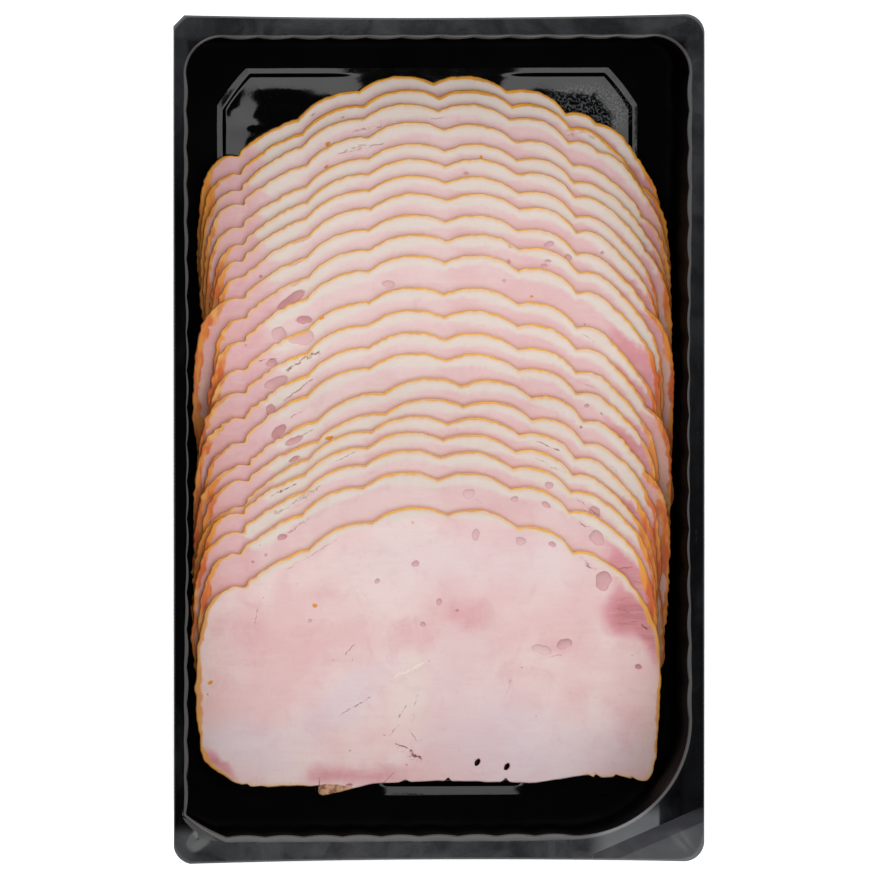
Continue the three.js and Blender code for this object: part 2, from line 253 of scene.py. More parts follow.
def skin_over(name, levels, material_levels=()):
    """A closed mesh through levels of equal point counts, from the bottom's middle, out round
    the edge and in to the top's middle. material_levels lists the levels whose faces take the
    piece's second material, then those of its third."""
    levels = np.array(levels)
    count, size = levels.shape[:2]
    here = np.arange(size)
    after = (here + 1) % size
    base = np.arange(count - 1)[:, None] * size
    quads = np.stack([base + here, base + after, base + size + after, base + size + here], -1)
    lids = [here[::-1].tolist(), ((count - 1) * size + here).tolist()]
    mesh = bpy.data.meshes.new(name)
    mesh.from_pydata(levels.reshape(-1, 3), [], quads.reshape(-1, 4).tolist() + lids)
    if material_levels:
        slots = np.zeros((count - 1, size))
        for number, chosen in enumerate(material_levels):
            slots[chosen] = number + 1
        slots = np.append(slots.ravel(), [0, 0])
        mesh.polygons.foreach_set("material_index", slots.astype(np.int32))
    mesh.shade_smooth()
    return new_object(name, mesh)


inside_well = well_levels(0, SHEET)
outside_well = well_levels(SHEET, 0)
inside_rim = rim_levels(inside_well[0], RIM_TOP, 1)
outside_rim = rim_levels(outside_well[0], RIM_TOP - SHEET, -0.5)
inside_floor = floor_levels(inside_well[-1], 0, SHEET)
outside_floor = floor_levels(outside_well[-1], SHEET, 0)
outside_levels = outside_floor[::-1] + outside_well[::-1] + outside_rim[::-1]
tray_levels = np.array(outside_levels + inside_rim + inside_well + inside_floor)
tray_levels[:, :, 0] -= SKEW * tray_levels[:, :, 1]
LIP_LEVELS = 4  # the inside wall starts under the glossy lip and ends where the floor has begun
wall_start = len(outside_levels) + len(inside_rim) + LIP_LEVELS
outside_start = len(outside_floor) - 1
inside_wall = range(wall_start, wall_start + len(inside_well))
outside_wall = range(outside_start, outside_start + len(outside_well))
tray = skin_over("ham_tray", tray_levels * MM, [inside_wall, outside_wall])


def srgb(red, green, blue):
    """A colour as it looks on screen, 0 to 255, as the linear values that a shader takes."""
    shares = np.array([red, green, blue]) / 255
    linear = np.where(shares <= 0.04045, shares / 12.92, ((shares + 0.055) / 1.055) ** 2.4)
    return (*linear.tolist(), 1.0)


class Shading:
    """The nodes of a material or the world, made and joined in one call each."""

    def __init__(self, tree):
        self.tree = tree

    def node(self, kind, settings=None, **inputs):
        made = self.tree.nodes.new(kind)
        for key, value in (settings or {}).items():
            setattr(made, key, value)
        self.give(made, **inputs)
        return made

    def give(self, node, **inputs):
        for key, value in inputs.items():
            self.feed(node.inputs[key.replace("_", " ")], value)

    def feed(self, socket, value):
        if isinstance(value, bpy.types.NodeSocket):
            self.tree.links.new(value, socket)
        else:
            socket.default_value = value

    def maths(self, operation, *values):
        made = self.node("ShaderNodeMath", {"operation": operation})
        for socket, value in zip(made.inputs, values):
            self.feed(socket, value)
        return made.outputs[0]

    def times(self, *values):
        product = values[0]
        for value in values[1:]:
            product = self.maths("MULTIPLY", product, value)
        return product

    def plus(self, first, second):
        return self.maths("ADD", first, second)

    def minus(self, first, second):
        return self.maths("SUBTRACT", first, second)

    def swing(self, noise, amount):
        return self.times(self.minus(noise, 0.5), amount)

    def dot(self, vector, direction):
        made = self.node("ShaderNodeVectorMath", {"operation": "DOT_PRODUCT"})
        self.feed(made.inputs[0], vector)
        self.feed(made.inputs[1], direction)
        return made.outputs["Value"]

    def ramp(self, value, low, high, to_low=0.0, to_high=1.0):
        made = self.node(
            "ShaderNodeMapRange", {"interpolation_type": "SMOOTHSTEP"}, Value=value,
            From_Min=low, From_Max=high, To_Min=to_low, To_Max=to_high,
        )
        return made.outputs["Result"]

    def mix(self, share, *colours):
        """The first colour, and share of the second. Numbers are as srgb takes them."""
        made = self.node("ShaderNodeMix", {"data_type": "RGBA"}, Factor=share)
        for socket, colour in zip(made.inputs[6:8], colours):
            self.feed(socket, srgb(*colour) if isinstance(colour, tuple) else colour)
        return made.outputs[2]

    def noise(self, vector, scale, detail=3.0, roughness=0.5, distortion=0.0):
        made = self.node(
            "ShaderNodeTexNoise", Vector=vector, Scale=scale, Detail=detail,
            Roughness=roughness, Distortion=distortion,
        )
        return made.outputs["Fac"]

    def streaks(self, vector, scale, turn, *looks):
        """Noise stretched by a scale for each axis, and turned."""
        made = self.node("ShaderNodeMapping", Vector=vector, Scale=scale, Rotation=(0, 0, turn))
        return self.noise(made.outputs["Vector"], 1.0, *looks)

    def attribute(self, name, output):
        return self.node("ShaderNodeAttribute", {"attribute_name": name}).outputs[output]

    def parts(self, vector):
        return self.node("ShaderNodeSeparateXYZ", Vector=vector).outputs

    def bump(self, surface, height, strength, distance):
        made = self.node("ShaderNodeBump", Height=height, Strength=strength, Distance=distance)
        self.give(surface, Normal=made.outputs["Normal"])


def new_material(name):
    material = bpy.data.materials.new(name)
    material.use_nodes = True
    material.node_tree.nodes.clear()
    shading = Shading(material.node_tree)
    surface = shading.node("ShaderNodeBsdfPrincipled")
    shading.node("ShaderNodeOutputMaterial", Surface=surface.outputs["BSDF"])
    return material, shading, surface


def black_sheet_material():
    """Glossy black plastic with scuffs, grease smears and a painted sheen on the rim, and frost on
    the panel that is partly painted sheen.
    """
    material, s, surface = new_material("black formed sheet")
    place = s.node("ShaderNodeTexCoord").outputs["Object"]
    x, y, z = [s.times(axis, 1 / MM) for axis in s.parts(place)]
    on_rim = s.ramp(z, 26, 28)

    # Grease smears in places, and a painted sheen on the rim: at both ends, far right and far
    # left.
    cloud = s.noise(place, 22, 4, 0.6)
    smears_and_painted_sheen = s.streaks(place, (40, 14, 20), 0.5, 6, 0.62, 0.6)
    smears_and_painted_sheen = s.times(s.ramp(smears_and_painted_sheen, 0.46, 0.74), s.ramp(cloud, 0.42, 0.6), 0.6)
    # Painted sheen: the rim is lighter grey here, standing in for reflected light.
    painted_sheen = s.plus(s.ramp(y, -119, -124), s.ramp(y, 122, 126, 0, 0.75))
    right_painted_sheen = s.times(s.ramp(x, 75, 78), s.ramp(y, -40, 110, 0.15, 0.8))
    left_painted_sheen = s.times(s.ramp(x, -78, -80), s.ramp(y, 70, 105, 0, 0.55))
    painted_sheen = s.maths("MAXIMUM", painted_sheen, s.maths("MAXIMUM", right_painted_sheen, left_painted_sheen))
    painted_sheen = s.times(painted_sheen, s.ramp(s.noise(place, 70, 5, 0.65, 0.8), 0.28, 0.66, 0.45, 1))
    smears_and_painted_sheen = s.times(s.maths("MAXIMUM", smears_and_painted_sheen, painted_sheen), on_rim)
    colour = s.mix(smears_and_painted_sheen, (2, 2, 3), (44, 45, 47))
    scratch = s.streaks(place, (900, 60, 60), 0.7, 3, 0.6)
    scratch = s.times(s.ramp(scratch, 0.7, 0.78), on_rim, 0.5)
    colour = s.mix(scratch, colour, (110, 112, 116))

    # Dust all over, and frost beads in an oval at the panel's far right, partly painted sheen.
    dust = s.times(s.ramp(s.noise(place, 2600, 1), 0.74, 0.8), s.ramp(cloud, 0.5, 0.65), 0.5)
    aside = s.times(s.minus(x, FROST_SHEEN_AT[0]), 1 / FROST_SHEEN_HALF[0])
    ahead = s.times(s.minus(y, FROST_SHEEN_AT[1]), 1 / FROST_SHEEN_HALF[1])
    from_frost_sheen = s.maths("SQRT", s.plus(s.times(aside, aside), s.times(ahead, ahead)))
    frost_sheen = s.ramp(s.plus(from_frost_sheen, s.times(cloud, 0.6)), 1.25, 0.85)
    sheen_beads = s.ramp(s.noise(place, 1500, 2, 0.6), 0.46, 0.6)
    sheen_beads = s.times(sheen_beads, frost_sheen, s.ramp(on_rim, 0.6, 0.4), 0.5)
    colour = s.mix(s.maths("MAXIMUM", dust, sheen_beads), colour, (118, 120, 122))

    # Where the lid was peeled off, the near right corner keeps three dull bands of its glue.
    at_corner = s.times(s.ramp(x, 46, 54), s.ramp(y, -113, -119), on_rim)
    across = s.plus(s.times(x, -0.394), s.times(y, 0.919))
    inner, outer = s.ramp(across, -138.4, -138.2), s.ramp(across, -142.6, -143)
    bands = [
        (s.times(inner, s.ramp(x, 70, 69)), (92, 94, 96)),
        (s.times(s.minus(1, inner), s.minus(1, outer)), (50, 50, 54)),
        (s.times(outer, s.ramp(cloud, 0.3, 0.6, 0.6, 1)), (74, 76, 77)),
    ]
    for band, dull in bands:
        colour = s.mix(s.times(band, at_corner), colour, dull)
    roughness = s.plus(s.times(smears_and_painted_sheen, 0.2), 0.08)
    s.give(surface, Base_Color=colour, Roughness=roughness, Specular_IOR_Level=0.9)
    grain = s.noise(place, 900, 2)
    waves = s.streaks(place, (60, 60, 25), 0, 2)
    s.bump(surface, s.plus(s.times(grain, 0.05), waves), 0.3, MM)
    return material


def wall_material(name, specular):
    """The same plastic where the forming left it satin: the fluted walls, inside and out."""
    material, s, surface = new_material(name)
    place = s.node("ShaderNodeTexCoord").outputs["Object"]
    grain = s.noise(place, 800, 3)
    colour = s.mix(grain, (0, 0, 0), (3, 3, 4))
    roughness = s.ramp(s.noise(place, 60, 2), 0.3, 0.7, 0.5, 0.7)
    s.give(surface, Base_Color=colour, Roughness=roughness, Specular_IOR_Level=specular)
    s.bump(surface, grain, 0.1, 0.2 * MM)
    return material


tray.data.materials.append(black_sheet_material())
tray.data.materials.append(wall_material("satin black wall", 0.03))
tray.data.materials.append(wall_material("satin black outside", 0.35))
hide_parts("tray")
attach(tray, "root")

# ---- The slices ----------------------------------------------------------
# Cooked ham pressed in a net, smoked and cut 1.4 mm thick. Each slice has a thin golden skin on
# its arched side, a band of white fat under it and pale pink meat with small pores and tears.
# They lie in a fan, each one's far edge a little nearer than that of the one below.

SLICE_NODES = sorted(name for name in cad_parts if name.startswith("slice_"))
TOP = len(SLICE_NODES)
SLICE = 1.4
OUTLINE_POINTS = 760
EDGE_RADIUS = 0.4
# A slice is a set of rings: the outer ones at these distances from its rim, the inner ones at
# equal steps on to a line near its middle, its spine.
RIM_STEPS = [0, 0.05, 0.12, 0.22, 0.34, 0.5, 0.7, 0.95, 1.25, 1.6, 2, 2.4, 2.8, 3.2, 3.7, 4.2, 4.8,
             5.4, 6.1, 6.8, 7.6, 8.5, 9.5, 10.6, 11.8, 13.2]
INNER_RINGS, TOP_INNER_RINGS = 8, 66
UNDERSIDE_RINGS = [0, 2, 4, 6, 8, 10, 14, 20]
DETAIL_REACH = 10  # how far in the rim's ragged detail fades out
SPINE_HALF = 33
SPINE_FROM_CROWN = 46
SPINE_SHARE = 0.9995  # how near to the spine the last ring comes
OUTLINE_EASE, SPINE_EASE = 2, 24  # how many points the outline's kinks are eased over
ARCH_END = (56, 46)  # how far below the crown the plain sides end and the arch has begun
NOTCH_REACH = 62  # the net's notches lie within this distance of the crown
NOTCH_DEPTH, NOTCH_SPREAD = 0.6, 1.2
EDGE_WAVES = range(20, 170, 7)  # how many waves of each kind go round the cut edge
FAT_DEPTH = 3.5
PORE_DEPTH = (0.12, 0.55)  # of a pale pore, and how much more of a dark one
TEAR_WIDENING, TEAR_REACH = 1.25, 1.6
HOLE_HALF, HOLE_LEAN, HOLE_POINTS = (0.8, 1.25), -32, 16
FAR_AWAY = 3.0  # what the fields hold where no mark is near

# Pores, by slice: place across and along the pack, half their width and length, their turn in
# degrees, and how deep and dark they are, from 0 to 1. Slice 22 lies on top.
PORES = {
    22: [(53, -45, 2.4, 3.1, 15, 0.6), (12.4, -30.3, 1.2, 1.7, 0, 0.3),
         (26.6, -32.4, 1.6, 1.2, 0, 0.3), (36.5, -33.4, 1.3, 0.7, -20, 0.5),
         (1.6, -51.5, 0.9, 1, 0, 0.5), (-3.2, -58.6, 0.8, 0.8, 0, 0.5),
         (7.4, -54.3, 0.5, 0.5, 0, 0.8), (34.5, -66.8, 3.1, 1.4, -12, 0.1),
         (41.4, -65, 2.2, 1.6, 12, 0.5), (65, -72.3, 1, 0.8, 0, 1), (-6.2, -39.4, 1.1, 1, 0, 0.5),
         (-18, -44.8, 0.8, 0.8, 0, 0.4), (-38.7, -57.4, 0.6, 0.6, 0, 0.3),
         (-24.5, -109.5, 1.2, 0.5, 0, 1), (-61.3, -78.8, 0.3, 0.3, 0, 0.8),
         (-70, -80.5, 0.3, 0.3, 0, 0.8), (-6.7, -103.2, 0.5, 0.3, -20, 1),
         (4.5, -102, 0.3, 0.3, 0, 1)],
    21: [(50.7, -31.6, 2, 2.6, 20, 0.45), (24.4, -19.2, 1, 0.9, 0, 0.4),
         (34.4, -21, 1.4, 0.8, -30, 0.5), (10, -17.5, 1.7, 1.6, 0, 0.2),
         (-48, -30.9, 1.6, 0.9, 20, 0.8), (-50.6, -27.9, 0.7, 0.5, 0, 0.6),
         (-57, -38.7, 0.4, 0.4, 0, 0.9), (-53, -36.5, 0.5, 0.5, 0, 0.5),
         (-11.4, -19.6, 0.4, 0.4, 0, 0.8)],
    20: [(35.3, -15, 1.2, 1.2, 0, 0.4), (50, -23.7, 1.7, 2, 20, 0.5)],
    17: [(-44.2, -6.6, 1.9, 0.7, 28, 0.7)],
    16: [(-44.5, -1, 2.8, 1.1, 28, 0.6), (45.4, 3, 0.5, 0.5, 0, 0.8)],
    15: [(-49.2, 1.8, 2.6, 1.6, 45, 0.8), (47.2, 9.7, 0.8, 0.6, 0, 0.6)],
    14: [(-51.7, 8.7, 1.4, 1.9, -20, 0.6)],
    13: [(-50, 17.3, 3.4, 1.7, 22, 0.5), (-59.8, 16.2, 0.5, 0.5, 0, 1)],
    12: [(-42.7, 32, 3.9, 3.3, 0, 0.3), (-51.5, 23.3, 1.9, 1.1, 15, 0.6),
         (-61.5, 22.7, 0.6, 0.6, 0, 1)],
    11: [(-14.7, 47.6, 2.2, 1.1, -3, 0.3), (-41.3, 36.6, 2.6, 1.2, -5, 0.85),
         (-49, 32.3, 2.2, 2.2, 0, 0.35), (21.4, 48.6, 0.7, 0.5, 0, 0.4)],
    10: [(-43, 49.6, 3.7, 1.6, 28, 0.6), (-44.9, 42.7, 5, 1.6, 32, 0.75),
         (23, 54.4, 0.6, 0.7, 0, 0.6), (35.4, 54.7, 0.9, 0.4, 0, 0.6),
         (34, 53.2, 1.1, 0.5, 0, 0.5), (23.7, 59.7, 0.9, 1.2, 0, 0.5)],
    9: [(-42.9, 55.4, 4.3, 1.4, 25, 0.55), (41.9, 55.6, 1.2, 0.9, -15, 0.5),
        (35.9, 59.8, 1.6, 0.8, 10, 0.5), (65.3, 43.2, 0.3, 0.3, 0, 0.9)],
    8: [(-54.3, 49.8, 0.5, 0.5, 0, 1), (52.8, 57, 0.6, 0.5, 0, 0.6),
        (-41.5, 61.3, 3.4, 0.6, 20, 0.5)],
    7: [(67.9, 49.7, 0.4, 0.4, 0, 0.9)],
    6: [(10.3, 81.6, 0.8, 0.5, 0, 0.6)],
    4: [(-59.4, 72.5, 0.5, 0.4, 0, 1)],
    3: [(-31.6, 96.4, 0.6, 0.3, 20, 0.9)],
    2: [(-27.6, 98.9, 0.5, 0.3, 20, 1)],
    1: [(-36.8, 99.6, 0.8, 0.3, 25, 1)],
}
# Specks of golden skin pressed into the meat and the rims: place, half width and half length.
SPECKS = {
    22: [(-37.3, -52.5, 0.7, 0.7), (-69.2, -76.7, 0.9, 0.6), (-7.5, -26.5, 0.5, 0.5),
         (-53.4, -50, 0.5, 0.3)],
    17: [(-33.7, 0, 1.4, 0.6)],
    12: [(-35.9, 37.3, 0.8, 0.6)],
    11: [(29.9, 43.6, 0.8, 0.5)],
    7: [(-39.7, 69.3, 0.6, 0.9), (-18.8, 77.5, 0.6, 0.5)],
    6: [(-18.6, 83.2, 0.5, 0.5)],
    5: [(15.2, 86.4, 0.5, 0.8), (-18.4, 87.8, 0.5, 0.5)],
    4: [(-33, 83.7, 0.8, 0.6)],
    3: [(-32.5, 90.7, 1.1, 0.6), (-56.3, 80.9, 0.5, 0.5)],
    2: [(-22.3, 102.8, 0.9, 0.5)],
    1: [(-23.4, 107.5, 0.9, 0.5)],
}
# Tears, from one end to the other, with half their width and how dark they are. A pale vein of
# fat counts as a tear with a darkness below 0.
TEARS = {
    22: [(-10.7, -96, -6.4, -98.4, 0.26, 1), (-6.4, -98.4, -2, -102, 0.34, 1),
         (-10.1, -88.5, -7.4, -84, 0.18, 0.7), (-12.4, -93.9, -9.4, -90, 0.16, 0.7),
         (-14.9, -93.2, -13.2, -94, 0.14, 0.6), (-5.9, -90, -4.8, -86.9, 0.14, 0.6),
         (-6.5, -91.7, -3.4, -95.9, 0.15, 0.7), (-5.2, -84.7, -4, -80.5, 0.13, 0.5),
         (-3.4, -95.9, -1.5, -94.5, 0.12, 0.5), (-29, -87.7, -24, -84.9, 0.14, 0.6),
         (-24, -84.9, -18.6, -81.2, 0.18, 0.8), (-27.4, -68.3, -24.2, -64.5, 0.14, 0.8),
         (-55.9, -58.6, -54.9, -52, 0.12, 0.6), (-46.8, -41.2, -30.7, -31.5, 0.15, 0.45),
         (23.7, -81, 25.4, -75.9, 0.15, 0.7), (-15.3, -109.9, -9.8, -104.8, 0.13, 0.6),
         (4.4, -105.8, 6.1, -108.4, 0.13, 0.7), (37, -69, 41, -68.3, 0.15, 0.7),
         (47.1, -40, 51, -41.6, 0.24, 0.8), (65.2, -59, 67.8, -60.6, 0.26, 1),
         (57.5, -53.5, 62, -55.4, 0.16, 0.5), (59.5, -58.5, 64.5, -58, 0.16, 0.5),
         (43.2, -35.6, 49.4, -40.4, 0.12, 0.5), (-2.2, -70.6, -6.5, -73, 0.4, -1),
         (-6.5, -73, -12, -74.8, 0.4, -0.8)],
    21: [(57.6, -41.5, 62.3, -40.8, 0.15, 0.8), (44.4, -26.9, 48.6, -28.3, 0.2, 0.6),
         (62.4, -45, 66.2, -46.3, 0.12, 0.6), (12, -18.8, 14.4, -20.4, 0.14, 0.6),
         (-46.5, -30, -39.6, -24.6, 0.28, 0.55)],
    20: [(44.3, -19.3, 52.6, -25.6, 0.14, 0.8), (-50.7, -24, -36.6, -15.5, 0.36, 0.4),
         (-43.3, -18.7, -36, -14.6, 0.16, 0.5)],
    19: [(-52, -18.4, -43.3, -13.7, 0.2, 0.95), (-32.3, -7.4, -25.5, -4.3, 0.14, 0.7),
         (30.4, -6.1, 35.5, -8.3, 0.12, 0.6), (35.3, -8.9, 40.7, -11.2, 0.18, 0.6)],
    18: [(31.1, -1.1, 39.1, -4.3, 0.18, 0.75)],
    17: [(54.9, -8.9, 57.5, -11.1, 0.14, 0.6)],
    16: [(-42.5, 0.5, -38.2, 3, 0.13, 0.8)],
    15: [(-45.9, 6.2, -41, 9.1, 0.13, 0.8), (50.7, 8.4, 52.4, 6.5, 0.16, 0.8)],
    14: [(-48, 11.2, -38.7, 18.8, 0.17, 0.85), (43.6, 17.6, 50, 15, 0.12, 0.4)],
    13: [(-47.3, 20.6, -42.5, 24.2, 0.3, 0.8), (-42.5, 24.2, -36.4, 27, 0.42, 0.8),
         (50.6, 21.2, 53.2, 18.4, 0.12, 0.5)],
    12: [(-56, 24, -49.6, 24.6, 0.13, 0.8), (45.1, 32.4, 50.2, 29.3, 0.13, 0.5)],
    5: [(-22.8, 85.9, -17.8, 86.6, 0.13, 0.5)],
    4: [(-29.8, 87.5, -14.8, 90.9, 0.2, 0.65), (-27.3, 89, -18.9, 90.6, 0.3, 0.4)],
    3: [(-25, 94.6, -15.5, 96.4, 0.3, 0.55), (-39.4, 92, -34.4, 94.6, 0.24, 0.5),
        (-0.5, 98.3, 5.2, 98.9, 0.15, 0.5)],
    2: [(42.2, 94.6, 50, 93.4, 0.55, 0.5), (49.4, 93.6, 51.4, 91.4, 0.5, 0.55)],
}
# Soft patches of the meat's colour on the top slice: place, half width and half length, turn,
# and how much rosier, creamier or cooler they are.
PATCHES = [
    (10.5, -55.5, 10, 5.5, 3, 0.55, 0, 0), (-4, -63, 8, 6, 0, 0.35, 0.1, 0),
    (-33, -65, 25, 14, 10, 0.3, 0, 0), (-33.5, -105, 9, 4, 20, 0.35, 0, 0),
    (-22, -107.5, 17, 2.6, 2, 0.4, 0, 0), (-66, -103.5, 3, 8, 42, 1.15, 0, 0),
    (64, -57.5, 12, 5.6, -12, 1.25, 0, 0), (64, -50.5, 9, 6, -25, 0.6, 0, 0),
    (70.5, -64, 4.2, 10, 12, 1.1, 0, 0), (24, -96, 24, 14, 0, 0, 0, 0.8),
    (-27, -83, 19, 7, 35, 0, 0, 0.7), (52, -100, 18, 9, 0, 0, 0, 0.5),
    (-58, -96, 16, 8, -8, 0, 0, 0.7), (-6, -82, 7, 15, 0, 0, 0.6, 0),
    (19, -38, 38, 10, 0, 0, 0.2, 0.3), (8, -75, 12, 20, 0, 0, 0.2, 0.3),
    (39, -66, 10, 4, 5, 0.35, 0, 0), (34, -79, 22, 10, 0, 0.25, 0.1, 0),
    (63, -88, 6, 16, 0, 0.35, 0, 0.1), (-20, -38, 19, 7, 20, 0, 0.25, 0.1),
    (-60, -60, 10, 12, 0, 0.2, 0, 0), (-20, -105, 20, 3, 3, 0.4, 0, 0),
]

# The rind flap at the top slice's near edge: place, half width, half length and turn.
FLAP = (-29.5, -111.8, 9, 2.6, -4)
# Where the first notch steps in and out again: place from the notch, depth and spread.
STEP_BENDS = [(-1.0, -0.6, 0.9, 1.3), (1.3, 0.9, -0.5, 1.6)]
# Nicks in the top slice's near edge: place, depth and half width.
NICKS = [(6.5, -108.4, 1.1, 0.7), (24.6, -109, 1.3, 0.8), (53.5, -106.8, 1.4, 0.8),
         (59.8, -108, 0.9, 0.9), (65.1, -108.4, 1, 0.7), (-7, -109, 0.8, 1.2),
         (-57, -108.6, 0.8, 0.8)]


def top_outline(node):
    """The outline of a slice's top face in the CAD node, and those of its holes."""
    mesh = node.data
    co = np.empty(len(mesh.vertices) * 3)
    mesh.vertices.foreach_get("co", co)
    places, same = np.unique(np.round(co.reshape(-1, 3), 6), axis=0, return_inverse=True)
    same = same.ravel()
    following = {}
    for face in mesh.polygons:
        if face.normal.z > 0.5:
            ids = [int(same[v]) for v in face.vertices]
            for a, b in zip(ids, ids[1:] + ids[:1]):
                if a in following.get(b, []):
                    following[b].remove(a)
                else:
                    following.setdefault(a, []).append(b)
    loops = []
    while any(following.values()):
        start = next(a for a, ends in following.items() if ends)
        loop = [start]
        while following.get(loop[-1]):
            onward = following[loop[-1]].pop()
            if onward == start:
                break
            loop.append(onward)
        loops.append(places[loop] / MM)
    return sorted(loops, key=len, reverse=True)


def resample(loop, count):
    """count points at equal steps along a closed line."""
    closed = np.vstack([loop, loop[:1]])
    reach = np.append(0, np.cumsum(np.linalg.norm(np.diff(closed, axis=0), axis=1)))
    at = np.arange(count) / count * reach[-1]
    return np.column_stack([np.interp(at, reach, closed[:, axis]) for axis in (0, 1)])


def round_off(loop, spread):
    """The closed line with its kinks eased: each point becomes a weighted mean of its
    neighbours."""
    offsets = np.arange(-2 * spread, 2 * spread + 1)
    weights = np.exp(-((offsets / spread) ** 2) * 1.2)
    weights /= weights.sum()
    return sum(weight * np.roll(loop, -offset, axis=0) for weight, offset in zip(weights, offsets))


def net_notches(loop, nearest_y):
    """Where the net's strings pressed the skin in: the hollow corners of the outline."""
    before = loop - np.roll(loop, 1, axis=0)
    onward = np.roll(loop, -1, axis=0) - loop
    leftward = before[:, 0] * onward[:, 1] - before[:, 1] * onward[:, 0]
    bend = np.arctan2(leftward, (before * onward).sum(1))
    return loop[(bend < -0.1) & (loop[:, 1] > nearest_y)]


cad_rims = {name: top_outline(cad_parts[name]) for name in SLICE_NODES}
second_box, third_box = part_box(SLICE_NODES[1]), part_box(SLICE_NODES[2])
layer = (third_box[1].z - second_box[1].z) / MM

# Every slice follows one bed, seen from the side: heights of the first slice's top against y.
bed = np.vstack([cad_rims[name][0] - (0, 0, k * layer) for k, name in enumerate(SLICE_NODES)])
bed = bed[np.argsort(bed[:, 1])]


def bed_height(x, y):
    spans = np.array([-5, -2.5, 0, 2.5, 5])
    eased = sum(np.interp(y + span, bed[:, 1], bed[:, 2]) for span in spans) / len(spans)
    return eased + 0.12 * np.sin(x * 0.11 + 0.6) * np.sin(y * 0.083 + 1.1)


def oval_distance(x, y, mark, waver=0.0):
    """How far points are outside an oval mark; below 0 they are inside it."""
    cx, cy, half_width, half_length, turn = mark[:5]
    angle = math.radians(turn)
    along = (x - cx) * math.cos(angle) + (y - cy) * math.sin(angle)
    aside = (y - cy) * math.cos(angle) - (x - cx) * math.sin(angle)
    around = np.arctan2(aside, along)
    reach = np.hypot(along / half_width, aside / half_length)
    lobes = np.sin(2 * around + cx * 7) + 0.7 * np.sin(3 * around + cy * 5)
    lobes = lobes + 0.5 * np.sin(5 * around + cx)
    return (reach - 1 - waver * lobes) * min(half_width, half_length)


def coat_field(k, x, y, across, from_crown, notches):
    """The share of skin, the fat's depth, and how far round the side a point is."""
    number = k + 1
    on_left, on_right = smooth_step(0, -10, across), smooth_step(0, 10, across)
    arched = smooth_step(*ARCH_END, from_crown)
    side = smooth_step(60, 69, np.abs(across)) * smooth_step(20, 38, from_crown)

    # Fat lies under the arch. It is thinner at the net's notches and tapers out at both ends.
    fat_start = -52 - 5 * (number < 8) - 7 * (number > 19) + 2 * math.sin(k * 2.3)
    fat_end = 67 + 1.5 * math.sin(k * 1.7)
    past_start = smooth_step(fat_start - 2.5, fat_start + 5, across)
    fat = FAT_DEPTH + 0.35 * np.sin(across * 0.07 + k) + 0.45 * np.sin(across * 0.23 + 2 * k)
    for notch in notches:
        fat = fat - 1.0 * np.exp(-(((x - notch[0]) / 3) ** 2) - ((y - notch[1]) / 6) ** 2)
    fat = fat + 0.7 * np.exp(-(((across - fat_start - 8) / 7) ** 2)) - 1.1 * (number == TOP)
    fat = fat * past_start * smooth_step(fat_end + 0.4, fat_end - 0.8, across)
    fat = fat * (1 - 0.5 * smooth_step(fat_end - 8, fat_end, across)) * arched

    # Skin is widest round the sides, more so from the ninth slice on, and the near edge has none.
    near_edge = smooth_step(83.5, 85, from_crown) * smooth_step(-37, -33, across)
    near_edge = near_edge * smooth_step(51, 48, across)
    low = smooth_step(80, 85, from_crown)
    later = smooth_step(2, 9, number)
    if number == TOP:
        wider = 1.3 + 1.1 * on_left
    else:
        wider = 3.4 + 0.9 * (number < 12) * on_left - 0.5 * on_right
        wider = wider * (0.85 + 0.3 * math.sin(k * 2.6))
    wider = wider * (0.35 + 0.65 * later)
    skin = (1 - near_edge) * (1 - 0.45 * low) * (1 + wider * side)
    skin = skin * (1 - 0.3 * arched * (1 - past_start) * (1 - side))
    side = side * (0.3 if number == TOP else 0.6 + 0.4 * later)
    return np.column_stack([skin, fat, side])


def tone_field(k, x, y, across, from_crown):
    """How much rosier, creamier and cooler than plain meat a point is."""
    arched = smooth_step(*ARCH_END, from_crown)
    rosy = smooth_step(50, 60, across) * smooth_step(13, 22, from_crown)
    rosy = rosy * smooth_step(50, 38, from_crown)
    rosy = rosy * (0.75 + 0.35 * math.sin(k * 1.9 + 0.5))
    rosy = rosy + 0.45 * smooth_step(-46, -58, across) * arched
    tone = np.column_stack([rosy, np.zeros_like(x), np.zeros_like(x)])
    if k == TOP - 1:
        tone[:, 0] *= 0.3
        for *oval, rosier, creamier, cooler in PATCHES:
            away = oval_distance(x, y, oval, 0.1) / min(oval[2:4])
            tone += np.outer(smooth_step(0.5, -0.8, away), (rosier, creamier, cooler))
    return tone


def mark_field(k, x, y):
    """How far a point is from the nearest pore, how dark that is, and how far it is from the
    nearest speck. Distances are below 0 inside."""
    from_pore, from_speck = np.full(len(x), FAR_AWAY), np.full(len(x), FAR_AWAY)
    darkness = np.zeros(len(x))
    for pore in PORES.get(k + 1, []):
        away = oval_distance(x, y, pore, 0.09)
        darkness = np.where(away < from_pore, pore[5], darkness)
        from_pore = np.minimum(away, from_pore)
    for speck in SPECKS.get(k + 1, []):
        from_speck = np.minimum(from_speck, oval_distance(x, y, (*speck, 15), 0.12))
    return np.column_stack([from_pore, darkness, from_speck])


